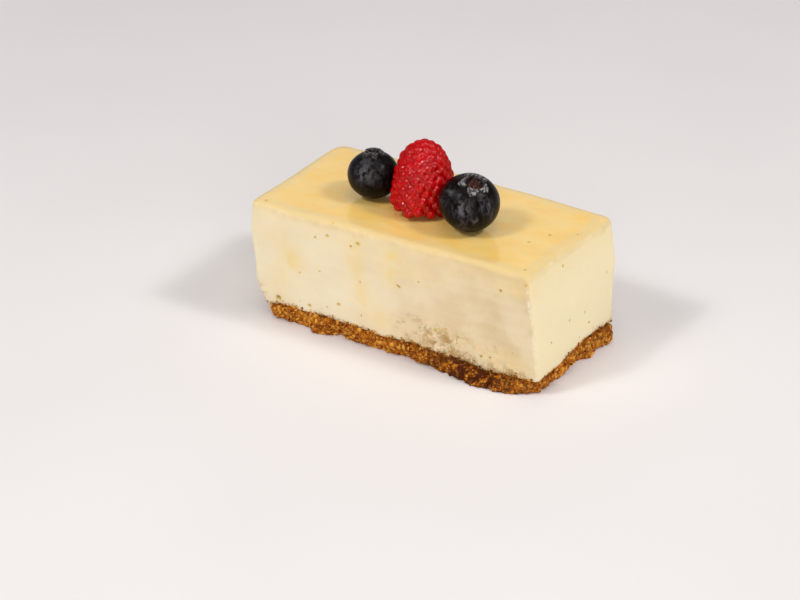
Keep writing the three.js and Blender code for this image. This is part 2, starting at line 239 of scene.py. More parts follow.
def srgb(red, green, blue):
    """Turn a colour given from 0 to 255 on screen into Blender's linear one."""
    def straight(level):
        share = level / 255
        return share / 12.92 if share <= 0.04045 else ((share + 0.055) / 1.055) ** 2.4
    return (straight(red), straight(green), straight(blue))


def smooth(value, low, high):
    """Rise softly from 0 at low to 1 at high, for a number or an array."""
    share = np.clip((value - low) / (high - low), 0.0, 1.0)
    return share * share * (3 - 2 * share)


# Objects and meshes

def only(piece):
    """Select one object and nothing else."""
    bpy.ops.object.select_all(action="DESELECT")
    piece.select_set(True)
    bpy.context.view_layer.objects.active = piece


def modify(piece, kind, **settings):
    """Add a modifier, set it up and apply it."""
    only(piece)
    modifier = piece.modifiers.new(kind, kind)
    for name, value in settings.items():
        setattr(modifier, name, value)
    bpy.ops.object.modifier_apply(modifier=modifier.name)


def ease(piece, rounds):
    """Smooth a mesh without shrinking it, by pushing it back out after each step."""
    for _ in range(rounds):
        modify(piece, "SMOOTH", factor=0.5, iterations=2)
        modify(piece, "SMOOTH", factor=-0.53, iterations=1)


def displace(piece, kind, size, strength, group=""):
    """Push the surface in and out by one of Blender's textures."""
    texture = bpy.data.textures.new(f"{piece.name} {kind.lower()} {size / MM:.1f}", kind)
    texture.noise_scale = size
    if kind == "CLOUDS":
        texture.noise_depth = 2
    modify(
        piece, "DISPLACE", texture=texture, strength=strength, mid_level=0.5,
        texture_coords="LOCAL", vertex_group=group,
    )


def in_edit_mode(piece, work):
    """Run some edit mode operators on the whole of a piece."""
    only(piece)
    bpy.ops.object.mode_set(mode="EDIT")
    bpy.ops.mesh.select_all(action="SELECT")
    work()
    bpy.ops.object.mode_set(mode="OBJECT")


def merge_and_face_out(piece):
    """Close the seams of a spun or joined shape and turn its faces outwards."""
    def work():
        bpy.ops.mesh.remove_doubles(threshold=MERGE)
        bpy.ops.mesh.normals_make_consistent(inside=False)
    in_edit_mode(piece, work)


def copy_of_solid(node, name):
    """Copy a CAD solid into a piece of its own, with its loose triangles merged."""
    piece = new_piece(name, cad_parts[node].data.copy())
    piece.data.materials.clear()
    only(piece)
    bpy.ops.mesh.customdata_custom_splitnormals_clear()
    def work():
        bpy.ops.mesh.remove_doubles(threshold=MERGE)
        bpy.ops.mesh.tris_convert_to_quads()
    in_edit_mode(piece, work)
    return piece


def new_piece(name, mesh):
    """Put a mesh in the scene as an object."""
    piece = bpy.data.objects.new(name, mesh)
    bpy.context.scene.collection.objects.link(piece)
    return piece


def added(name):
    """Name the primitive that was just added, and hand it over."""
    piece = bpy.context.active_object
    piece.name = name
    piece.data.name = name
    return piece


def points_of(piece):
    """The places of a mesh's vertices as an array of rows."""
    values = np.empty(3 * len(piece.data.vertices))
    piece.data.vertices.foreach_get("co", values)
    return values.reshape(-1, 3)


def normals_of(piece):
    """The directions of a mesh's vertices as an array of rows."""
    values = np.empty(3 * len(piece.data.vertices), np.float32)
    piece.data.vertices.foreach_get("normal", values)
    return values.reshape(-1, 3)


def move_points(piece, points):
    """Put every vertex of a mesh at its new place."""
    piece.data.vertices.foreach_set("co", np.asarray(points, np.float32).ravel())
    piece.data.update()


def unevenness(points, size, layer):
    """Smooth noise of about -1 to 1 at each point, with lumps of about one size."""
    shift = Vector((31.7 * layer, 5.3, 9.1))
    return np.array([noise.noise(Vector(point) / size + shift) for point in points])


def mark(piece, name, values):
    """Store a number for each vertex, for the material to read."""
    attribute = piece.data.attributes.new(name, "FLOAT", "POINT")
    attribute.data.foreach_set("value", np.asarray(values, np.float32))


def weigh(piece, name, weights):
    """Make a vertex group from an array of weights."""
    group = piece.vertex_groups.new(name=name)
    for index, weight in enumerate(weights):
        if weight > 0.01:
            group.add([index], float(weight), "REPLACE")


def finish_piece(piece, material, slot, *nodes):
    """Give a piece its material and its place in the frame."""
    piece.data.materials.clear()
    piece.data.materials.append(material)
    only(piece)
    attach(piece, "root")
    if nodes:
        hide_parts(*nodes)


def scatter(name, shapes, places):
    """Join copies of a few shapes into one piece, each with its own place, turn, size and tone."""
    points = []
    faces = []
    tones = []
    for number, (matrix, tone) in enumerate(places):
        shape = shapes[number % len(shapes)]
        first = len(points)
        points.extend(matrix @ vertex.co for vertex in shape.vertices)
        faces.extend([first + index for index in face.vertices] for face in shape.polygons)
        tones.extend([tone] * len(shape.vertices))
    mesh = bpy.data.meshes.new(name)
    mesh.from_pydata(points, [], faces)
    piece = new_piece(name, mesh)
    mark(piece, "tone", tones)
    return piece


def crumb_shapes(count, random_from):
    """A few broken crumbs of about unit radius, with flat faces and uneven corners."""
    shapes = []
    for number in range(count):
        bpy.ops.object.select_all(action="DESELECT")
        bpy.ops.mesh.primitive_ico_sphere_add(subdivisions=1, radius=1)
        crumb = added(f"crumb {number}")
        for vertex in crumb.data.vertices:
            vertex.co *= random_from.uniform(0.65, 1.2)
        mesh = crumb.data.copy()
        bpy.data.objects.remove(crumb)
        shapes.append(mesh)
    return shapes


def random_turn(random_from):
    """A turn in any direction."""
    return Euler([random_from.uniform(0, math.tau) for _ in range(3)]).to_matrix().to_4x4()


# Materials

class Finish:
    """The node tree of one material, with short ways to add to it."""

    def __init__(self, name):
        self.material = bpy.data.materials.new(name)
        self.material.use_nodes = True
        self.tree = self.material.node_tree
        self.shader = self.tree.nodes["Principled BSDF"]
        self.place = self.node("ShaderNodeTexCoord").outputs["Object"]

    def node(self, kind, **settings):
        """A new node with some of its settings."""
        node = self.tree.nodes.new(kind)
        for name, value in settings.items():
            setattr(node, name, value)
        return node

    def put(self, socket, value):
        """Set a socket to a value, or join it to another socket."""
        if isinstance(value, bpy.types.NodeSocket):
            self.tree.links.new(value, socket)
        elif hasattr(value, "__len__") and socket.type == "RGBA":
            socket.default_value = (*value, 1)
        else:
            socket.default_value = value

    def set(self, **values):
        """Set the shader's own sockets, named with underscores for spaces."""
        for name, value in values.items():
            self.put(self.shader.inputs[name.replace("_", " ")], value)

    def mark(self, name):
        """A number stored on the mesh."""
        return self.node("ShaderNodeAttribute", attribute_name=name).outputs["Fac"]

    def axis(self, letter):
        """One coordinate of the place, in metres."""
        split = self.node("ShaderNodeSeparateXYZ")
        self.put(split.inputs[0], self.place)
        return split.outputs[letter]

    def noise(self, size, detail=3.0, roughness=0.5, stretch=(1, 1, 1), turn=(0, 0, 0), shift=0.0):
        """Soft noise from 0 to 1 with lumps of about one size, drawn out along an axis by stretch."""
        mapping = self.node("ShaderNodeMapping")
        mapping.inputs["Rotation"].default_value = turn
        mapping.inputs["Scale"].default_value = [1 / (size * part) for part in stretch]
        mapping.inputs["Location"].default_value = (shift, shift, shift)
        self.put(mapping.inputs["Vector"], self.place)
        texture = self.node("ShaderNodeTexNoise")
        texture.inputs["Scale"].default_value = 1
        texture.inputs["Detail"].default_value = detail
        texture.inputs["Roughness"].default_value = roughness
        self.put(texture.inputs["Vector"], mapping.outputs[0])
        return texture.outputs[0]

    def between(self, value, low, high, start=0.0, end=1.0):
        """Turn a range of a value into another range, softly and without overshoot."""
        ranged = self.node("ShaderNodeMapRange", interpolation_type="SMOOTHSTEP")
        for number, part in enumerate((value, low, high, start, end)):
            self.put(ranged.inputs[number], part)
        return ranged.outputs[0]

    def lumps(self, size, low, high, detail=3.0, roughness=0.5, **drawn):
        """Noise that is 0 below one level and 1 above another."""
        return self.between(self.noise(size, detail, roughness, **drawn), low, high)

    def fade(self, letter, low, high, start=0.0, end=1.0):
        """A value that changes softly along one axis, between two places."""
        return self.between(self.axis(letter), low, high, start, end)

    def maths(self, operation, first, second):
        """Add, subtract or multiply two values."""
        node = self.node("ShaderNodeMath", operation=operation)
        self.put(node.inputs[0], first)
        self.put(node.inputs[1], second)
        return node.outputs[0]

    def times(self, first, second):
        """One value times another."""
        return self.maths("MULTIPLY", first, second)

    def mix(self, share, first, second):
        """Mix two colours, with the share of the second."""
        node = self.node("ShaderNodeMix", data_type="RGBA")
        self.put(node.inputs[0], share)
        self.put(node.inputs[6], first)
        self.put(node.inputs[7], second)
        return node.outputs[2]

    def bump(self, height, depth, strength, after=None):
        """Fine relief of some depth in metres, over any relief before it."""
        node = self.node("ShaderNodeBump")
        node.inputs["Strength"].default_value = strength
        node.inputs["Distance"].default_value = depth
        self.put(node.inputs["Height"], height)
        if after is not None:
            self.put(node.inputs["Normal"], after)
        return node.outputs[0]


def cream_colour(finish, settings):
    """The cut cream's colour: blotches, painted shade towards the long face's right, the knife's faint
    streaks, stains, and the torn patch.
    """
    blotches = finish.lumps(12 * MM, 0.35, 0.68, shift=3)
    # The darker cream is partly the cream's own blotches and partly painted shade that grows towards the
    # right of the long cut face.
    rightward_shade = finish.fade("X", -34 * MM, 40 * MM, 0.25)
    on_end = finish.mark("on_end")
    on_front = finish.maths("SUBTRACT", 1.0, on_end)
    deeper = finish.times(rightward_shade, on_front)
    deeper = finish.times(deeper, finish.between(blotches, 0, 1, 0.6, 1))
    cream = finish.mix(deeper, settings.cream, settings.deep_cream_and_shade)
    along = finish.lumps(2.2 * MM, 0.42, 0.72, stretch=(9, 9, 1), turn=STREAK_TURN)
    upright = finish.lumps(1.8 * MM, 0.45, 0.72, stretch=(1, 1, 12), shift=4)
    streaks = finish.maths("ADD", finish.times(along, on_front), finish.times(upright, on_end))
    cream = finish.mix(finish.times(streaks, 0.12), cream, settings.light_cream)
    cream = finish.mix(finish.times(on_end, 0.3), cream, settings.stain)
    upper = finish.fade("Z", TOP - 12 * MM, TOP - 1 * MM)
    cream = finish.mix(finish.times(upper, 0.25), cream, settings.stain)
    mottle = finish.between(finish.noise(3 * MM, shift=7), 0.3, 0.6, 0.4, 0.9)
    cream = finish.mix(finish.times(finish.mark("stain"), mottle), cream, settings.stain)
    torn = finish.lumps(2.4 * MM, 0.42, 0.58, 4, 0.7, shift=5)
    torn = finish.times(finish.mark("crumbly"), torn)
    cream = finish.mix(torn, cream, settings.torn)
    flecks = finish.lumps(1.3 * MM, 0.54, 0.66, 4, 0.65, stretch=(1.6, 1.6, 1), shift=21)
    flecks = finish.times(finish.mark("crumbly"), flecks)
    cream = finish.mix(finish.times(flecks, 0.8), cream, settings.fleck)
    ragged = finish.between(finish.noise(0.9 * MM, 3, 0.6, shift=15), 0.3, 0.6, 0, 0.75)
    return finish.mix(finish.times(finish.mark("burr"), ragged), cream, settings.light_cream)


def filling_finish(settings):
    """Pale baked cream, with a yellow skin on top that is glossy with moisture."""
    finish = Finish("baked cream")
    cream = cream_colour(finish, settings)
    wander = finish.maths("SUBTRACT", finish.noise(5 * MM, 3, 0.6), 0.5)
    from_edge = finish.mark("from_edge")
    level = finish.maths("ADD", from_edge, finish.times(wander, 5.0))
    shoulder = finish.between(level, -settings.skin_depth / MM, 0.4)
    colour = finish.mix(finish.times(shoulder, 0.9), cream, settings.shoulder)
    skin_noise = finish.lumps(8 * MM, 0.35, 0.7, 4, 0.6, stretch=(1.6, 1, 1), shift=11)
    skin_colour = finish.mix(skin_noise, settings.skin, settings.deep_skin)
    colour = finish.mix(finish.between(level, -0.8, 5.5), colour, skin_colour)
    smear_noise = finish.lumps(1.3 * MM, 0.38, 0.58, 4, 0.7, shift=2)
    smear = finish.times(finish.mark("smear"), smear_noise)
    colour = finish.mix(finish.times(smear, 0.95), colour, settings.smear)
    colour = finish.mix(finish.mark("pit_yellow"), colour, settings.pit_yellow)
    # Painted shade: the middles of the opened bubbles are darkened brown.
    colour = finish.mix(finish.mark("pit_brown"), colour, settings.pit_brown)
    gloss = finish.between(from_edge, 0.0, 2.4)
    finish.set(Base_Color=colour, Specular_IOR_Level=0.25)
    finish.set(Roughness=finish.between(gloss, 0, 1, 0.62, 0.4))
    finish.set(Coat_Weight=finish.times(gloss, 0.8), Coat_Roughness=0.1, Coat_IOR=1.4)
    finish.set(Subsurface_Weight=0.35, Subsurface_Radius=(1.0, 0.55, 0.3), Subsurface_Scale=2.0 * MM)
    fine = finish.noise(0.45 * MM, 4, 0.6)
    dull = finish.maths("SUBTRACT", 1.0, gloss)
    relief = finish.bump(finish.times(fine, dull), 0.12 * MM, 0.5)
    ripples = finish.noise(5 * MM, 3, 0.55, shift=13)
    relief = finish.bump(finish.times(ripples, gloss), 0.3 * MM, 0.5, relief)
    finish.set(Normal=relief)
    return finish.material


def biscuit_finish(settings, name, toned):
    """Crushed biscuit pressed with butter: golden grains with dark gaps, and painted shade that darkens it
    towards the near corner.
    """
    finish = Finish(name)
    coarse = finish.lumps(2.4 * MM, 0.38, 0.62, 3, 0.6)
    colour = finish.mix(coarse, settings.brown, settings.golden)
    fine = finish.lumps(1.0 * MM, 0.5, 0.64, 4, 0.7, shift=4)
    colour = finish.mix(finish.times(fine, 0.8), colour, settings.pale_grain)
    specks = finish.lumps(1.1 * MM, 0.5, 0.62, 3, 0.6, shift=9)
    specks = finish.times(specks, 0.85)
    # Painted shade: the slab and its crumbs darken towards the near corner, in dark lumps and with fewer pale
    # grains.
    right = finish.fade("X", 2 * MM, 24 * MM)
    near = finish.fade("Y", -23 * MM, -18 * MM, 1, 0)
    before_corner = finish.fade("X", 34 * MM, 43 * MM, 1, 0.3)
    near_corner_shade = finish.times(finish.times(right, near), before_corner)
    if toned:
        tone = finish.mark("tone")
        pale = finish.between(tone, 0.55, 1, 0, 0.9)
        # Fewer pale crumbs in the painted shade near the corner.
        pale = finish.times(pale, finish.between(near_corner_shade, 0, 1, 0.85, 0.4))
        colour = finish.mix(pale, colour, settings.pale_grain)
        colour = finish.mix(finish.between(tone, 0.45, 0, 0, 0.8), colour, settings.brown)
        specks = finish.times(specks, finish.between(tone, 0.5, 0.9, 1, 0.2))
    else:
        upper = finish.fade("Z", CRUST_TOP - 2.4 * MM, CRUST_TOP - 0.4 * MM)
        colour = finish.mix(finish.times(upper, 0.4), colour, settings.dark)
    colour = finish.mix(specks, colour, settings.dark)
    burnt = finish.lumps(2.2 * MM, 0.4, 0.52, 4, 0.7, shift=17)
    if toned:
        burnt = finish.times(burnt, finish.between(tone, 0.9, 1, 1, 0.5))
    # Near the corner these dark lumps are painted shade.
    colour = finish.mix(finish.times(near_corner_shade, burnt), colour, settings.dark)
    far = finish.times(finish.fade("X", 43 * MM, 46 * MM), finish.fade("Y", -2 * MM, 12 * MM))
    far = finish.times(far, finish.fade("Z", 2.6 * MM, 4.4 * MM))
    far = finish.times(far, 0.5)
    colour = finish.mix(finish.times(far, burnt), colour, settings.dark)
    if toned:
        colour = finish.mix(finish.between(tone, 1, DRAGGED_TONE), colour, settings.dragged)
    finish.set(Base_Color=colour, Roughness=0.5, Specular_IOR_Level=0.12)
    finish.set(Subsurface_Weight=0.1, Subsurface_Radius=(1.0, 0.4, 0.1), Subsurface_Scale=0.6 * MM)
    relief = finish.bump(finish.noise(0.5 * MM, 4, 0.7), 0.15 * MM, 0.8)
    finish.set(Normal=relief)
    return finish.material


def blueberry_finish(settings):
    """A nearly black skin under a rubbed, pale bloom with painted highlights in it, with dry grey lobes round
    the brown hollow.
    """
    finish = Finish("blueberry skin")
    wide = finish.lumps(5 * MM, 0.45, 0.75, 4, 0.65)
    # The pale patches are partly waxy bloom and partly painted highlight.
    rubbed_bloom_and_highlight = finish.maths("ADD", finish.mark("bloom"), finish.times(wide, 0.1))
    scratches = finish.noise(1.2 * MM, 4, 0.7, stretch=(1, 1, 1.8), shift=6)
    bloom = finish.times(rubbed_bloom_and_highlight, finish.between(scratches, 0.38, 0.64, 0, 1.2))
    colour = finish.mix(bloom, settings.skin, settings.bloom)
    dry = finish.lumps(0.7 * MM, 0.42, 0.62, 4, 0.7, shift=3)
    lobes = finish.mix(dry, settings.lobe_dark, settings.lobe)
    colour = finish.mix(finish.mark("lobe"), colour, lobes)
    hollow = finish.mix(dry, settings.hollow_dark, settings.hollow)
    colour = finish.mix(finish.mark("hollow"), colour, hollow)
    finish.set(Base_Color=colour, Specular_IOR_Level=0.09)
    finish.set(Roughness=finish.between(bloom, 0, 0.6, 0.3, 0.6))
    relief = finish.bump(finish.noise(0.6 * MM, 3, 0.6), 0.05 * MM, 0.5)
    finish.set(Normal=relief)
    return finish.material


def raspberry_finish(settings):
    """Translucent red flesh, wet on the outside, with painted shade that darkens the creases."""
    finish = Finish("raspberry flesh")
    tone = finish.lumps(3.2 * MM, 0.35, 0.7, 2)
    colour = finish.mix(tone, settings.red, settings.bright_red)
    frosted = finish.lumps(3.0 * MM, 0.64, 0.72, 3, 0.6, shift=8)
    colour = finish.mix(finish.times(frosted, 0.25), colour, settings.pink)
    # Painted shade: the creases between the drupelets are darkened towards the crease colour.
    colour = finish.mix(finish.times(finish.mark("crease"), 0.85), colour, settings.crease)
    finish.set(Base_Color=colour, Roughness=0.5, Specular_IOR_Level=0.0)
    finish.set(Subsurface_Weight=0.15, Subsurface_Radius=(1.0, 0.05, 0.04), Subsurface_Scale=0.8 * MM)
    wet = finish.between(finish.mark("crease"), 0, 0.6, 0.25, 0)
    finish.set(Coat_Weight=wet, Coat_Roughness=0.05, Coat_IOR=2.0)
    relief = finish.bump(finish.noise(0.7 * MM, 2, 0.5), 0.04 * MM, 0.3)
    finish.set(Normal=relief)
    return finish.material


def floor_finish(settings):
    """Plain pale board, a little uneven in tone."""
    finish = Finish("pale table")
    tone = finish.lumps(120 * MM, 0.3, 0.7, 2)
    shade = [0.97 * part for part in settings.floor_colour]
    finish.set(Base_Color=finish.mix(tone, settings.floor_colour, shade), Roughness=0.6)
    return finish.material


# The filling

def from_middle(points):
    """Each point's place in millimetres from the cream's middle, and its height from the table."""
    return ((points - np.array(CREAM_MIDDLE)) / MM).T


def draw_out_ends(points):
    """Draw the bar's left end out a little, most at the top, and its right end at the far corner."""
    x, y, z = from_middle(points)
    points[:, 0] -= LEFT_REACH * smooth(-x, 38, 49) * (0.4 + 0.8 * smooth(z, 12, 36))
    points[:, 0] += RIGHT_REACH * smooth(x, 38, 49) * smooth(y, -10, 20)


def crumbly_zone(points):
    """How torn the long cut face is at each point: most low down, right of the middle."""
    x, y, z = from_middle(points)
    front = smooth(-y, *LONG_FACES)
    along = smooth(x, -2, 6) * (1 - 0.75 * smooth(x, 19, 27)) * (1 - smooth(x, 33, 43))
    low = 1 - smooth(z, 12, 18)
    back = smooth(y, *LONG_FACES) * (1 - smooth(z, 8, 14)) * 0.8
    left = smooth(-x, 45, 47) * (1 - smooth(z, 8, 13)) * 0.6
    patchy = 0.6 + 1.0 * unevenness(points, 4 * MM, 3)
    return np.clip((front * along * low + 0.7 * back + left) * patchy, 0, 1)


def way_from_crust(slab, points):
    """How far each low point of the cream's sides is from the slab."""
    ways = np.full(len(points), TOP)
    for index in np.flatnonzero(points[:, 2] < MEASURED_TO):
        point = Vector(points[index])
        _, nearest, _, _ = slab.closest_point_on_mesh(point)
        ways[index] = (point - nearest).length
    return ways


def drag_reach(points):
    """How far up the crumbs were dragged: most at the right of the long cut face."""
    x, y, _ = from_middle(points)
    front = smooth(-y, *LONG_FACES)
    far = front * smooth(x, 9, 21) * (1 - smooth(x, 41, 48))
    uneven = unevenness(points * np.array([1, 1, 0.2]), 3 * MM, 6)
    return (1.0 + 2.2 * far) * np.clip(0.9 + 1.1 * uneven, 0.2, 2.2) * MM


def near_crust(points, ways):
    """How close to the biscuit each point is, for the crumbs that the knife dragged up."""
    return 1 - smooth(ways, 0.1 * MM, 0.3 * MM + 1.5 * drag_reach(points))


def stain_at(points):
    """How stained the long cut face is at each point."""
    x, y, z = from_middle(points)
    total = np.zeros(len(x))
    for along, up, half_width, half_height, strength in STAINS:
        away = ((x - along) / half_width) ** 2 + ((z - up) / half_height) ** 2
        total += strength * np.exp(-away)
    return np.clip(total * smooth(-y, *LONG_FACES), 0, 1)


def burr_at(points, normals):
    """The thin ragged line of lighter cream along the near upright edge."""
    x, y, z = from_middle(points)
    line = smooth(normals[:, 0], 0.06, 0.2) * (1 - smooth(normals[:, 0], 0.45, 0.75))
    return line * smooth(x, 44, 46) * smooth(-y, 18, 20) * (1 - smooth(z, 34, 37))


def top_edge(points, normals):
    """The top's edge as a tree of points in plan."""
    high = points[:, 2] > TOP - EDGE_BAND
    edge = points[high & (normals[:, 2] > 0.6) & (normals[:, 2] < 0.85)]
    tree = KDTree(len(edge))
    for number, (x, y, _) in enumerate(edge):
        tree.insert((x, y, 0), number)
    tree.balance()
    return tree


def from_top_edge(points, normals, edge):
    """The way from the top's edge in millimetres: inwards over the top is above 0, down a side below 0."""
    ways = (points[:, 2] - TOP) / MM
    for index in np.flatnonzero(points[:, 2] > TOP - EDGE_BAND):
        x, y, _ = points[index]
        away = edge.find((x, y, 0))[2] / MM
        if normals[index, 2] > 0.72 or away > 2.0:
            ways[index] = away
    return ways


def loose_pits():
    """Pits by chance over the faces that the viewer doesn't see."""
    random_from = random.Random(LOOSE_PIT_SEED)
    pits = []
    for _ in range(LOOSE_PITS):
        side = random_from.choice(("back", "back", "back", "left"))
        x = random_from.uniform(-44, 44)
        y = random_from.uniform(-20, 20)
        z = random_from.uniform(8, 35)
        wide = random_from.uniform(0.3, 0.6)
        start = Vector((x, OUT_FRONT, z)) if side == "back" else Vector((-OUT_SIDE, y, z))
        pits.append((start, side, wide, wide, 0, random_from.uniform(0, 0.6)))
    return pits


def pit_places(piece):
    """Each pit as its middle on the surface, the way out, how wide and how high, its tilt and how dark its
    painted shade is.
    """
    wanted = []
    for x, z, wide, brown in FRONT_PITS:
        wanted.append((Vector((x, -OUT_FRONT, z)), "front", wide, 0.8 * wide, 0, brown))
    start = Vector((SLIT["x"], -OUT_FRONT, SLIT["z"]))
    wanted.append((start, "front", SLIT["length"], SLIT["wide"], math.radians(SLIT["tilt"]), SLIT["brown"]))
    for y, z, wide, brown in END_PITS:
        wanted.append((Vector((OUT_SIDE, y, z)), "end", 0.8 * wide, wide, 0, brown))
    for x, y, wide, brown in TOP_PITS:
        wanted.append((Vector((x, y, OUT_TOP)), "top", wide, wide, 0, brown))
    places = []
    for start, side, wide, high, tilt, brown in wanted + loose_pits():
        hit, place, normal, _ = piece.ray_cast(start * MM + CREAM_MIDDLE, INWARDS[side])
        if not hit:
            raise RuntimeError(f"no cream at the pit {tuple(start)}")
        places.append((place, normal, PIT_RIM * wide * MM, PIT_RIM * high * MM, tilt, brown))
    return places


def cut_pits(piece, places):
    """Cut each pit as a squashed ball, and mark how yellow it is inside and how much painted shade darkens
    its middle.
    """
    bpy.ops.object.select_all(action="DESELECT")
    bpy.ops.mesh.primitive_ico_sphere_add(subdivisions=2, radius=0.5)
    ball = added("pit ball")
    turned = []
    for place, normal, wide, high, tilt, _ in places:
        facing = normal.to_track_quat("Z", "Y").to_matrix().to_4x4()
        turn = Matrix.Rotation(tilt, 4, "Z")
        size = Matrix.Diagonal((wide, high, PIT_THICKNESS * min(wide, high), 1))
        turned.append((Matrix.Translation(place) @ facing @ turn @ size, 0.0))
    cutter = scatter("pit cutter", [ball.data], turned)
    modify(piece, "BOOLEAN", operation="DIFFERENCE", solver="MANIFOLD", object=cutter)
    bpy.data.objects.remove(cutter)
    bpy.data.objects.remove(ball)
    points = np.c_[points_of(piece), np.ones(len(piece.data.vertices))]
    yellow = np.zeros(len(points))
    brown = np.zeros(len(points))
    for (matrix, _), place in zip(turned, places):
        inside = points @ np.array(matrix.inverted()).T
        away = 2 * np.linalg.norm(inside[:, :2], axis=1) + 40 * np.maximum(np.abs(inside[:, 2]) - 1.5, 0)
        yellow = np.maximum(yellow, (1 - smooth(away, 0.8, 1.9)) * 0.85)
        # The brown in a pit's middle is painted shade in its hollow.
        brown = np.maximum(brown, (1 - smooth(away, 0.3, 1.1)) * place[-1])
    mark(piece, "pit_yellow", yellow)
    mark(piece, "pit_brown", brown)


def shape_cream(piece):
    """Press the cream into the slab, draw out its ends, and leave the knife's ridges and burr on it."""
    points = points_of(piece)
    normals = normals_of(piece)
    underside = (normals[:, 2] < -0.5) & (points[:, 2] < 7 * MM)
    points[underside, 2] -= UNDERSIDE_DROP
    draw_out_ends(points)
    stroke = points @ Matrix.Rotation(RIDGE_TILT, 3, "Y")
    ridges = unevenness(stroke * np.array([0.12, 0.12, 1]), 1.4 * MM, 8)
    sides = 1 - np.abs(normals[:, 2])
    burr = burr_at(points, normals) * (0.6 + 0.4 * unevenness(points, 3 * MM, 9))
    points += normals * (RIDGE_DEPTH * ridges * sides + BURR_HEIGHT * burr)[:, None]
    move_points(piece, points)
    weigh(piece, "torn", crumbly_zone(points))
    for size, depth, group in CREAM_WAVES:
        displace(piece, "CLOUDS", size, depth, group)


def mark_cream(piece, slab, edge):
    """Mark the cream's torn, stained, raised and smeared places, its ends and its top, for the material."""
    points = points_of(piece)
    normals = normals_of(piece)
    mark(piece, "crumbly", crumbly_zone(points))
    mark(piece, "stain", stain_at(points))
    mark(piece, "burr", burr_at(points, normals))
    mark(piece, "from_edge", from_top_edge(points, normals, edge))
    mark(piece, "on_end", smooth(np.abs(normals[:, 0]), 0.6, 0.8))
    mark(piece, "smear", near_crust(points, way_from_crust(slab, points)))


def make_filling(settings, slab):
    """The cream block: the solid's own form with finer waves, a torn patch and opened bubbles."""
    piece = copy_of_solid("filling", "cream_filling")
    modify(piece, "REMESH", mode="VOXEL", voxel_size=settings.grain)
    ease(piece, 6)
    shape_cream(piece)
    edge = top_edge(points_of(piece), normals_of(piece))
    cut_pits(piece, pit_places(piece))
    mark_cream(piece, slab, edge)
    piece.vertex_groups.clear()
    only(piece)
    bpy.ops.object.shade_smooth_by_angle(angle=math.radians(50))
    finish_piece(piece, filling_finish(settings), "filling", "filling")


# The biscuit base and its crumbs

def make_base(settings):
    """The pressed biscuit slab: the solid's own form with a crumbled surface, level at the foot."""
    piece = copy_of_solid("biscuit_base", "biscuit_slab")
    modify(piece, "REMESH", mode="VOXEL", voxel_size=settings.grain)
    modify(piece, "SMOOTH", factor=0.5, iterations=2)
    for kind, size, depth in SLAB_WAVES:
        displace(piece, kind, size, depth)
    points = points_of(piece)
    points[:, 2] = np.clip(points[:, 2], 0, SLAB_TOP)
    draw_out_ends(points)
    move_points(piece, points)
    only(piece)
    bpy.ops.object.shade_smooth_by_angle(angle=math.radians(35))
    finish_piece(piece, biscuit_finish(settings, "pressed biscuit", False), "biscuit", "biscuit_base")


def side_faces(piece, steepest, keep):
    """The middles and directions of a piece's faces that look sideways and that keep(point) allows."""
    chosen = []
    for face in piece.data.polygons:
        if abs(face.normal.z) < steepest and keep(face.center):
            chosen.append((face.center.copy(), face.normal.copy()))
    return chosen


def crumb_places(faces, weights, count, radii, dragged, random_from):
    """Places for crumbs on some faces, with more small ones than large. Dragged ones are drawn upwards."""
    smallest, largest = radii
    places = []
    for centre, normal in random_from.choices(faces, weights, k=count):
        radius = smallest + (largest - smallest) * random_from.random() ** 2
        stretch = Matrix.Diagonal((random_from.uniform(0.8, 1.3), random_from.uniform(0.8, 1.2), 0.8, 1))
        shape = random_turn(random_from) @ stretch
        if dragged:
            upwards = Matrix.Diagonal((0.7, 0.7, random_from.uniform(1, 2.6), 1))
            shape = upwards @ shape
        middle = centre - normal * radius * (0.3 if dragged else 0.35)
        place = Matrix.Translation(middle) @ shape @ Matrix.Scale(radius, 4)
        tone = random_from.random()
        places.append((place, DRAGGED_TONE if dragged else tone))
    return places


def make_crumbs(settings, slab, filling):
    """Loose grains pressed into the slab's rim, and finer ones that the knife dragged up the cream."""
    random_from = random.Random(CRUMB_SEED)
    shapes = crumb_shapes(CRUMB_SHAPES, random_from)
    rim = side_faces(slab, 0.8, lambda point: point.z > 0.4 * MM)
    radii = (RIM_CRUMB, settings.crumb_size)
    places = crumb_places(rim, [1] * len(rim), settings.crumb_count, radii, False, random_from)
    cream = side_faces(filling, 0.6, lambda point: point.z < CRUMBED_TO)
    points = np.array([tuple(centre) for centre, _ in cream])
    ways = way_from_crust(slab, points)
    seam = np.exp(-ways / (0.25 * MM)).tolist()
    places += crumb_places(cream, seam, settings.seam_count, SEAM_CRUMBS, False, random_from)
    thinning = np.exp(-ways / (0.55 * drag_reach(points))).tolist()
    places += crumb_places(cream, thinning, settings.smear_count, DRAGGED_CRUMBS, True, random_from)
    piece = scatter("biscuit_crumbs", shapes, places)
    points = points_of(piece)
    points[:, 2] = np.maximum(points[:, 2], 0.02 * MM)
    move_points(piece, points)
    finish_piece(piece, biscuit_finish(settings, "biscuit crumb", True), "biscuit")
    return piece


# The berries

def set_down(piece, node, place, to_right=0.0, height=None):
    """Lean a berry that stands up at the origin, and press its foot flat on the bar in its solid's place."""
    matrix = Matrix.Rotation(math.radians(place["lean_near"]), 4, VIEWER_RIGHT)
    matrix @= Matrix.Rotation(math.radians(place["lean_right"]), 4, VIEWER_AWAY)
    matrix @= Matrix.Rotation(math.radians(place["turn"]), 4, "Z")
    piece.data.transform(matrix)
    points = points_of(piece)
    own_low = Vector(points.min(axis=0))
    own_high = Vector(points.max(axis=0))
    low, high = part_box(node)
    foot = low.z - CONTACT_GAP
    if height is None:
        height = own_high.z - own_low.z
    way = (low + high - own_low - own_high) / 2 + VIEWER_RIGHT * to_right
    way.z = foot + height - own_high.z
    points += np.array(way)
    points[:, 2] = np.maximum(points[:, 2], foot)
    move_points(piece, points)


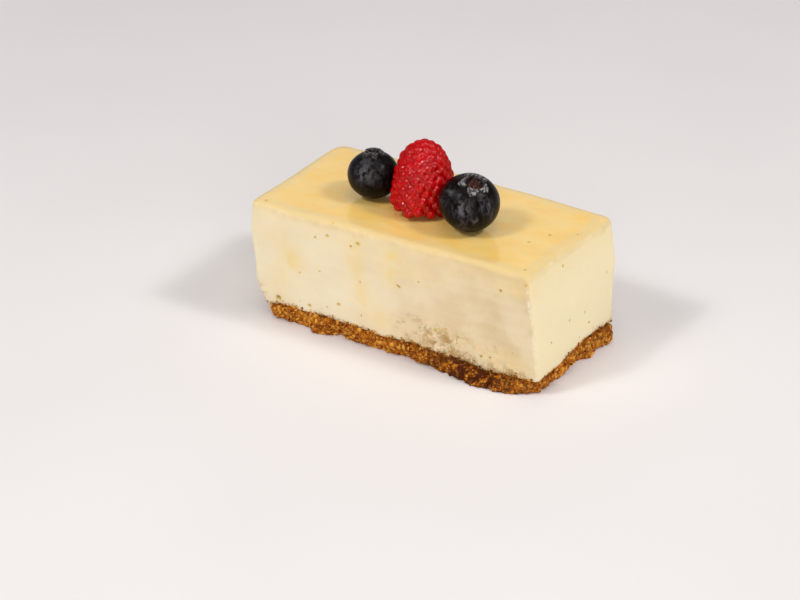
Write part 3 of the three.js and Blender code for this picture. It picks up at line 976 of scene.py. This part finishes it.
def spun_berry(name, radius):
    """A ball spun from its half outline, with its rings crowded together at the crown."""
    angles = [math.pi + (CROWN_FROM - math.pi) * step / BODY_RINGS for step in range(BODY_RINGS)]
    angles += [CROWN_FROM * (1 - step / CROWN_RINGS) for step in range(CROWN_RINGS + 1)]
    outline = [(radius * math.sin(angle), 0, radius * math.cos(angle)) for angle in angles]
    mesh = bpy.data.meshes.new(name)
    mesh.from_pydata(outline, [(step, step + 1) for step in range(len(outline) - 1)], [])
    piece = new_piece(name, mesh)
    def work():
        bpy.ops.mesh.spin(steps=BERRY_AROUND, angle=math.tau, center=(0, 0, 0), axis=(0, 0, 1))
    in_edit_mode(piece, work)
    merge_and_face_out(piece)
    return piece


def crown_lobes(random_from):
    """Five lobes, each with its middle's angle, its half width and its length."""
    lobes = []
    for number in range(5):
        middle = math.tau * (number + random_from.uniform(-0.1, 0.1)) / 5
        lobes.append((middle, random_from.uniform(0.5, 0.66), random_from.uniform(0.75, 1.1)))
    return lobes


def star(around, lobes):
    """How far the lobes reach out at an angle round the crown, from 0 to about 1."""
    reach = 0.0
    for middle, half_width, length in lobes:
        off = abs((around - middle + math.pi) % math.tau - math.pi) / half_width
        if off < 1:
            reach = max(reach, length * (1 - off) ** 0.75)
    return reach


def shape_crown(piece, radius, place, random_from):
    """Raise a ring of dry lobes round a hollow at the top of a blueberry, and flatten the whole."""
    lobes = crown_lobes(random_from)
    inner = math.radians(place["hollow"])
    tip = math.radians(place["tip"])
    lobe_marks = []
    hollow_marks = []
    for vertex in piece.data.vertices:
        direction = vertex.co.normalized()
        angle = math.acos(max(-1, min(1, direction.z)))
        around = math.atan2(direction.y, direction.x)
        ragged = 0.05 * noise.noise(Vector((math.cos(around), math.sin(around), angle)) * 9)
        outer = inner + math.radians(3) + (tip - inner) * star(around, lobes) + ragged
        on_lobe = smooth(outer - angle, 0, math.radians(2.5))
        on_lobe = float(on_lobe * smooth(angle, inner - 0.05, inner + 0.03))
        along = (angle - inner) / (tip - inner)
        rise = place["lobe_height"] * radius * (1 - 0.45 * along) * on_lobe
        inside = float(1 - smooth(angle, inner - math.radians(7), inner))
        nub = math.exp(-((angle / NUB_REACH) ** 2))
        depth = radius * (HOLLOW_DEPTH * inside - NUB_HEIGHT * nub)
        dent = sum(share * radius * noise.noise(direction * finer) for finer, share in DENTS)
        vertex.co = direction * (radius + rise - depth + dent)
        vertex.co.z *= place["flatness"]
        lobe_marks.append(on_lobe * place["lobe_tone"])
        hollow_marks.append(inside)
    mark(piece, "lobe", lobe_marks)
    mark(piece, "hollow", hollow_marks)


# Each blueberry's lean and crown in degrees, and its pale patches, partly waxy bloom and partly painted
# highlight, as the viewer sees them: to the right and up in radii, reach and strength.
BLUEBERRIES = {
    "blueberry_left": {
        "lean_right": 1, "lean_near": -2, "turn": 20, "flatness": 0.92,
        "hollow": 12, "tip": 27, "lobe_height": 0.12, "lobe_tone": 0.55, "seed": 5,
        "bloom": ((-0.36, -0.12, 0.33, 0.55), (-0.3, 0.45, 0.28, 0.25), (0.2, -0.2, 0.4, 0.12)),
    },
    "blueberry_right": {
        "lean_right": 10, "lean_near": 18, "turn": 0, "flatness": 0.92,
        "hollow": 18, "tip": 32, "lobe_height": 0.09, "lobe_tone": 1.0, "seed": 9,
        "bloom": ((-0.24, -0.3, 0.25, 0.8), (0.48, -0.12, 0.2, 0.6), (-0.65, 0.24, 0.15, 0.5),
                  (0.15, -0.67, 0.09, 1.0), (-0.24, -0.8, 0.15, 0.5), (0.65, -0.48, 0.2, 0.35),
                  (-0.9, -0.05, 0.15, 0.4)),
    },
}


def mark_bloom_and_highlight(piece, patches, radius):
    """Mark the pale patches on a berry, partly waxy bloom and partly painted highlight, on the side that
    faces the viewer.
    """
    points = points_of(piece)
    away = (points - (points.min(axis=0) + points.max(axis=0)) / 2) / radius
    right, up, near = (away @ np.array(way) for way in (VIEWER_RIGHT, VIEWER_UP, TO_VIEWER))
    bloom = np.zeros(len(points))
    for patch_right, patch_up, reach, strength in patches:
        off = ((right - patch_right) ** 2 + (up - patch_up) ** 2) / reach ** 2
        bloom += strength * np.exp(-off) * smooth(near, 0.0, 0.3)
    mark(piece, "bloom", np.clip(bloom, 0, 1))


def make_blueberry(node, place, radius, material):
    """One blueberry with its crown."""
    random_from = random.Random(place["seed"])
    piece = spun_berry(f"{node}_fruit", radius)
    shape_crown(piece, radius, place, random_from)
    modify(piece, "SUBSURF", levels=1, render_levels=1)
    set_down(piece, node, place)
    mark_bloom_and_highlight(piece, place["bloom"], radius)
    only(piece)
    bpy.ops.object.shade_smooth()
    finish_piece(piece, material, "blueberry", node)


def raspberry_radius(height, length, radius):
    """The raspberry's outline: widest low down, with full shoulders and a blunt tip."""
    widest = 0.3 * length
    below = max(0.0, widest - height) / widest
    up = min(max((height - widest) / (length - widest), 0.0), 1.0)
    return radius * (1 - up ** 2.4) ** 0.54 + 0.2 * MM * below


def raspberry_line(settings):
    """Points up the raspberry's outline, closer together towards the tip, each as its radius and height."""
    lowest = 0.3 * settings.pitch
    line = []
    for step in range(OUTLINE_STEPS + 1):
        height = lowest + (settings.length - lowest) * math.sin(math.pi / 2 * step / OUTLINE_STEPS)
        line.append(Vector((raspberry_radius(height, settings.length, settings.radius), height)))
    return line


def drupelet_places(settings, random_from):
    """The drupelets' middles and ways out, on a spiral from foot to tip that gives each the same area."""
    line = raspberry_line(settings)
    areas = [0.0]
    for start, end in zip(line, line[1:]):
        areas.append(areas[-1] + math.pi * (start.x + end.x) * (end - start).length)
    count = round(areas[-1] / (PACKING * settings.pitch ** 2))
    golden_angle = math.pi * (3 - math.sqrt(5))
    places = []
    for number in range(count):
        index = int(np.searchsorted(areas, areas[-1] * (number + 0.5) / count))
        step = line[index]
        along = (line[min(index + 1, OUTLINE_STEPS)] - line[index - 1]).normalized()
        outward = Vector((along.y, -along.x))
        angle = number * golden_angle + random_from.uniform(-0.04, 0.04)
        out = random_from.uniform(-0.2, 0.1) * MM
        centre = Vector((math.cos(angle) * step.x, math.sin(angle) * step.x, step.y))
        way = Vector((math.cos(angle) * outward.x, math.sin(angle) * outward.x, outward.y))
        places.append((centre + way * out, way))
    return places


def drupelet_balls(places, radii, size):
    """A ball for each drupelet, all in one piece."""
    bpy.ops.object.select_all(action="DESELECT")
    bpy.ops.mesh.primitive_uv_sphere_add(segments=20, ring_count=12, radius=1)
    ball = added("drupelet")
    turned = []
    for (centre, way), radius in zip(places, radii):
        facing = way.to_track_quat("Z", "Y").to_matrix().to_4x4()
        stretch = Matrix.Diagonal((radius, radius * 1.05, radius, 1))
        turned.append((Matrix.Translation(centre - way * size) @ facing @ stretch, 0.0))
    balls = scatter("drupelets", [ball.data], turned)
    bpy.data.objects.remove(ball)
    return balls


def raspberry_core(settings, size):
    """The core that fills the raspberry behind its drupelets."""
    bpy.ops.object.select_all(action="DESELECT")
    bpy.ops.mesh.primitive_uv_sphere_add(segments=48, ring_count=32, radius=1)
    core = added("raspberry_fruit")
    for vertex in core.data.vertices:
        height = settings.length * (0.5 + 0.5 * vertex.co.z)
        flat = Vector((vertex.co.x, vertex.co.y))
        spread = raspberry_radius(height, settings.length, settings.radius) - CORE_INSET * size
        reach = max(spread, 0) * (1 if vertex.co.z < 0.94 else 0.6)
        direction = flat.normalized() if flat.length > 0.01 else Vector((0, 0))
        height = min(height, settings.length - CORE_BELOW_TIP * size)
        vertex.co = (direction.x * reach, direction.y * reach, max(height, 0.3 * MM))
    return core


def make_raspberry(settings):
    """The raspberry: a core with a drupelet at each place, fused into one wet skin."""
    random_from = random.Random(RASPBERRY_SEED)
    places = drupelet_places(settings, random_from)
    size = settings.pitch * DRUPELET_SHARE
    radii = [size * random_from.uniform(0.9, 1.12) for _ in places]
    balls = drupelet_balls(places, radii, size)
    piece = raspberry_core(settings, size)
    only(balls)
    piece.select_set(True)
    bpy.context.view_layer.objects.active = piece
    bpy.ops.object.join()
    modify(piece, "REMESH", mode="VOXEL", voxel_size=settings.skin_grain)
    modify(piece, "SMOOTH", factor=0.5, iterations=1)
    mark_creases(piece, places, radii, size)
    place = {"lean_right": settings.lean_right, "lean_near": settings.lean_near, "turn": 0}
    set_down(piece, "raspberry", place, settings.to_right, settings.stands)
    bpy.ops.object.shade_smooth()
    finish_piece(piece, raspberry_finish(settings), "raspberry", "raspberry")


def mark_creases(piece, places, radii, size):
    """Mark how deep between the drupelets each point of the skin is, for the painted shade and the drier coat
    in the creases.
    """
    tree = KDTree(len(places))
    for number, (centre, way) in enumerate(places):
        tree.insert(centre - way * size, number)
    tree.balance()
    marks = []
    for vertex in piece.data.vertices:
        _, number, away = tree.find(vertex.co)
        marks.append(1 - float(smooth(away / radii[number], 0.74, 0.97)))
    mark(piece, "crease", marks)


# The stage

def make_stage(settings):
    """A pale table, soft lights and the camera."""
    bpy.ops.object.select_all(action="DESELECT")
    bpy.ops.mesh.primitive_plane_add(size=settings.floor_size)
    floor = added("table")
    floor.data.materials.append(floor_finish(settings))
    world = bpy.data.worlds.new("studio")
    world.use_nodes = True
    background = world.node_tree.nodes["Background"]
    background.inputs["Color"].default_value = (*settings.air_colour, 1)
    background.inputs["Strength"].default_value = settings.air_strength
    bpy.context.scene.world = world
    middle = Vector((0, 0, 20 * MM))
    for name, (azimuth, elevation, distance, width, height, power) in LIGHTS.items():
        soft_light(name, middle, azimuth, elevation, distance, width, height, getattr(settings, power))
    set_camera(settings)
    bpy.context.scene.view_settings.view_transform = "Standard"


def soft_light(name, aim, azimuth, elevation, distance, width, height, power):
    """A soft box that faces the object, its azimuth in degrees to the viewer's right of the camera."""
    turn = VIEW_AZIMUTH + math.radians(azimuth)
    rise = math.radians(elevation)
    away = Vector((math.sin(turn) * math.cos(rise), -math.cos(turn) * math.cos(rise), math.sin(rise)))
    bpy.ops.object.light_add(type="AREA", location=aim + away * distance)
    light = bpy.context.active_object
    light.name = name
    light.rotation_euler = away.to_track_quat("Z", "Y").to_euler()
    light.data.shape = "RECTANGLE"
    light.data.size = width
    light.data.size_y = height
    light.data.energy = power


def set_camera(settings):
    """The camera looks at the bar as the viewer does."""
    place = Vector(settings.camera_place)
    aim = Vector(settings.camera_aim)
    bpy.ops.object.camera_add(location=place)
    camera = bpy.context.active_object
    camera.rotation_euler = (aim - place).to_track_quat("-Z", "Y").to_euler()
    camera.data.lens = settings.lens
    camera.data.sensor_width = 36
    camera.data.clip_start = 0.01
    bpy.context.scene.camera = camera


# The add-on

def colour(name, description, default):
    """A colour setting."""
    return bpy.props.FloatVectorProperty(
        name=name, description=description, default=default, subtype="COLOR", size=3, min=0, max=1,
    )


def length(name, description, default):
    """A length setting, in metres."""
    return bpy.props.FloatProperty(
        name=name, description=description, default=default, unit="LENGTH", min=0, precision=5,
    )


def sideways(name, description, default):
    """A way to the right in metres, which may be below 0."""
    return bpy.props.FloatProperty(
        name=name, description=description, default=default, unit="LENGTH", precision=5,
    )


def spot(name, description, default):
    """A place, in metres."""
    return bpy.props.FloatVectorProperty(
        name=name, description=description, default=default, subtype="XYZ", size=3, unit="LENGTH",
    )


def number(name, description, default):
    """A plain number setting."""
    return bpy.props.FloatProperty(name=name, description=description, default=default)


def amount(name, description, default):
    """A whole number setting."""
    return bpy.props.IntProperty(name=name, description=description, default=default, min=1)


class CHEESECAKE_PG_filling(bpy.types.PropertyGroup):
    """The cream block's sizes and colours."""

    grain: length("Mesh Grain", "Size of the remeshed cream's faces", 0.52 * MM)
    skin_depth: length("Skin Depth", "How far the yellow skin reaches down", 3.6 * MM)
    cream: colour("Cream", "Colour of the cut cream", srgb(252, 238, 206))
    # This darker cream also carries painted shade towards the right of the long cut face.
    deep_cream_and_shade: colour("Deep Cream", "Colour of its darker blotches", srgb(227, 203, 160))
    light_cream: colour("Light Cream", "Colour of the knife's streaks and the burr", srgb(253, 243, 216))
    stain: colour("Stain", "Colour of the yellow stains", srgb(246, 218, 148))
    torn: colour("Torn Cream", "Colour in the torn patch", srgb(198, 160, 100))
    fleck: colour("Fleck", "Colour of the small marks in the torn patch", srgb(150, 118, 54))
    skin: colour("Skin", "Colour of the baked skin", srgb(244, 208, 128))
    deep_skin: colour("Deep Skin", "Colour of its deeper parts", srgb(246, 200, 104))
    shoulder: colour("Shoulder", "Colour where the skin runs over the edge", srgb(228, 202, 144))
    smear: colour("Smear", "Colour of the crumbs smeared over the crust", srgb(184, 146, 88))
    pit_yellow: colour("Pit Rim", "Colour round an opened bubble", srgb(226, 196, 112))
    # Painted shade inside an opened bubble.
    pit_brown: colour("Pit Middle", "Colour inside an opened bubble", srgb(150, 114, 46))


class CHEESECAKE_PG_biscuit(bpy.types.PropertyGroup):
    """The base's sizes and colours."""

    grain: length("Mesh Grain", "Size of the remeshed slab's faces", 0.42 * MM)
    crumb_size: length("Crumb Size", "Radius of the largest loose crumb", 1.0 * MM)
    crumb_count: amount("Crumbs", "How many crumbs the rim has", 3400)
    seam_count: amount("Seam Crumbs", "How many crumbs lie along the cream's foot", 500)
    smear_count: amount("Dragged Crumbs", "How many fine crumbs the cream has", 900)
    brown: colour("Brown", "Colour of the pressed biscuit", srgb(158, 80, 6))
    golden: colour("Golden", "Colour of its golden parts", srgb(196, 115, 18))
    pale_grain: colour("Pale Grain", "Colour of its palest grains", srgb(244, 178, 74))
    dark: colour("Dark", "Colour of the gaps and burnt grains", srgb(80, 32, 0))
    dragged: colour("Dragged", "Colour of the crumbs dragged over the cream", srgb(194, 152, 90))


class CHEESECAKE_PG_blueberry(bpy.types.PropertyGroup):
    """The blueberries' sizes and colours."""

    left_radius: length("Left Radius", "Radius of the left blueberry", 7.9 * MM)
    right_radius: length("Right Radius", "Radius of the right blueberry", 9.1 * MM)
    skin: colour("Skin", "Colour of the rubbed skin", srgb(8, 3, 3))
    # Partly painted highlight: this pale colour also stands in for glints on the skin.
    bloom: colour("Bloom", "Colour of the waxy bloom", srgb(108, 106, 110))
    lobe: colour("Lobes", "Colour of the crown's dry lobes", srgb(150, 147, 146))
    lobe_dark: colour("Dark Lobes", "Colour of their darker parts", srgb(34, 28, 30))
    hollow: colour("Hollow", "Colour of the crown's hollow", srgb(92, 58, 50))
    hollow_dark: colour("Dark Hollow", "Colour of its darker parts", srgb(22, 10, 10))


class CHEESECAKE_PG_raspberry(bpy.types.PropertyGroup):
    """The raspberry's sizes and colours."""

    length: length("Length", "From the foot to the tip", 22.1 * MM)
    radius: length("Radius", "Radius where it is widest", 9.3 * MM)
    pitch: length("Drupelet Pitch", "From one drupelet to the next", 3.0 * MM)
    stands: length("Height", "From the foot to the top as it leans", 22.5 * MM)
    to_right: sideways("Shift", "How far it stands to the viewer's right of its solid", -0.7 * MM)
    lean_right: number("Lean Right", "Lean to the viewer's right in degrees", 5)
    lean_near: number("Lean Near", "Lean towards the viewer in degrees", -6)
    skin_grain: length("Mesh Grain", "Size of the remeshed skin's faces", 0.19 * MM)
    red: colour("Red", "Colour of the flesh", srgb(172, 0, 1))
    bright_red: colour("Bright Red", "Colour of the brighter drupelets", srgb(194, 0, 6))
    pink: colour("Pink", "Colour of the frosted drupelets", srgb(214, 50, 70))
    # Painted shade between the drupelets.
    crease: colour("Crease", "Colour between the drupelets", srgb(84, 0, 2))


class CHEESECAKE_PG_stage(bpy.types.PropertyGroup):
    """The table, the lights and the camera."""

    floor_size: length("Table Size", "Side of the table", 6.0)
    floor_colour: colour("Table", "Colour of the table", srgb(238, 233, 232))
    air_colour: colour("Surroundings", "Colour of the light from all round", srgb(255, 252, 250))
    air_strength: number("Surrounding Light", "Strength of the light from all round", 0.24)
    left_power: number("Left Box", "Power of the left soft box, in watts", 2.7)
    right_power: number("Right Box", "Power of the right soft box, in watts", 2.6)
    front_power: number("Front Box", "Power of the front soft box, in watts", 3.3)
    top_power: number("Top Box", "Power of the soft box overhead, in watts", 2.6)
    back_power: number("Back Panel", "Power of the panel behind, in watts", 0.9)
    spark_power: number("Sparks", "Power of each small lamp that glints on wet skin, in watts", 1.6)
    lens: number("Lens", "Focal length in millimetres", 108)
    camera_place: spot("Camera", "Where the camera stands", (335.5 * MM, -549.8 * MM, 362.5 * MM))
    camera_aim: spot("Aim", "What the camera looks at", (2.6 * MM, -23.1 * MM, 20 * MM))


def piece_named(name):
    """A piece that an earlier step made."""
    if name not in bpy.data.objects:
        raise RuntimeError(f"{name} has to be made first")
    return bpy.data.objects[name]


class CHEESECAKE_OT_stage(bpy.types.Operator):
    """Add the pale table, the soft lights and the camera"""

    bl_idname = "cheesecake.stage"
    bl_label = "Stage"

    def execute(self, context):
        make_stage(context.scene.cheesecake_stage)
        return {"FINISHED"}


class CHEESECAKE_OT_filling(bpy.types.Operator):
    """Make the cream block with its yellow skin"""

    bl_idname = "cheesecake.filling"
    bl_label = "Filling"

    def execute(self, context):
        make_filling(context.scene.cheesecake_filling, piece_named("biscuit_slab"))
        return {"FINISHED"}


class CHEESECAKE_OT_biscuit(bpy.types.Operator):
    """Make the pressed biscuit slab"""

    bl_idname = "cheesecake.biscuit"
    bl_label = "Biscuit Slab"

    def execute(self, context):
        make_base(context.scene.cheesecake_biscuit)
        return {"FINISHED"}


class CHEESECAKE_OT_crumbs(bpy.types.Operator):
    """Scatter crumbs over the slab's rim and the foot of the cream"""

    bl_idname = "cheesecake.crumbs"
    bl_label = "Crumbs"

    def execute(self, context):
        slab = piece_named("biscuit_slab")
        make_crumbs(context.scene.cheesecake_biscuit, slab, piece_named("cream_filling"))
        return {"FINISHED"}


class CHEESECAKE_OT_blueberries(bpy.types.Operator):
    """Make the two blueberries"""

    bl_idname = "cheesecake.blueberries"
    bl_label = "Blueberries"

    def execute(self, context):
        settings = context.scene.cheesecake_blueberry
        material = blueberry_finish(settings)
        radii = {"blueberry_left": settings.left_radius, "blueberry_right": settings.right_radius}
        for node, place in BLUEBERRIES.items():
            make_blueberry(node, place, radii[node], material)
        return {"FINISHED"}


class CHEESECAKE_OT_raspberry(bpy.types.Operator):
    """Make the raspberry"""

    bl_idname = "cheesecake.raspberry"
    bl_label = "Raspberry"

    def execute(self, context):
        make_raspberry(context.scene.cheesecake_raspberry)
        return {"FINISHED"}


class CHEESECAKE_PT_panel(bpy.types.Panel):
    """The cheesecake's steps, in the order they are run"""

    bl_idname = "CHEESECAKE_PT_panel"
    bl_label = "Cheesecake"
    bl_space_type = "VIEW_3D"
    bl_region_type = "UI"
    bl_category = "Cheesecake"

    def draw(self, context):
        for operator in OPERATORS:
            self.layout.operator(operator.bl_idname)


GROUPS = {
    "cheesecake_filling": CHEESECAKE_PG_filling,
    "cheesecake_biscuit": CHEESECAKE_PG_biscuit,
    "cheesecake_blueberry": CHEESECAKE_PG_blueberry,
    "cheesecake_raspberry": CHEESECAKE_PG_raspberry,
    "cheesecake_stage": CHEESECAKE_PG_stage,
}
OPERATORS = (
    CHEESECAKE_OT_stage,
    CHEESECAKE_OT_biscuit,
    CHEESECAKE_OT_filling,
    CHEESECAKE_OT_crumbs,
    CHEESECAKE_OT_blueberries,
    CHEESECAKE_OT_raspberry,
)


def register():
    for group in GROUPS.values():
        bpy.utils.register_class(group)
    for operator in OPERATORS:
        bpy.utils.register_class(operator)
    bpy.utils.register_class(CHEESECAKE_PT_panel)
    for name, group in GROUPS.items():
        setattr(bpy.types.Scene, name, bpy.props.PointerProperty(type=group))


def unregister():
    for name in GROUPS:
        delattr(bpy.types.Scene, name)
    bpy.utils.unregister_class(CHEESECAKE_PT_panel)
    for operator in reversed(OPERATORS):
        bpy.utils.unregister_class(operator)
    for group in reversed(GROUPS.values()):
        bpy.utils.unregister_class(group)


def main():
    register()
    bpy.ops.cheesecake.stage()
    bpy.ops.cheesecake.biscuit()
    bpy.ops.cheesecake.filling()
    bpy.ops.cheesecake.crumbs()
    bpy.ops.cheesecake.blueberries()
    bpy.ops.cheesecake.raspberry()


if __name__ == "__main__":
    main()
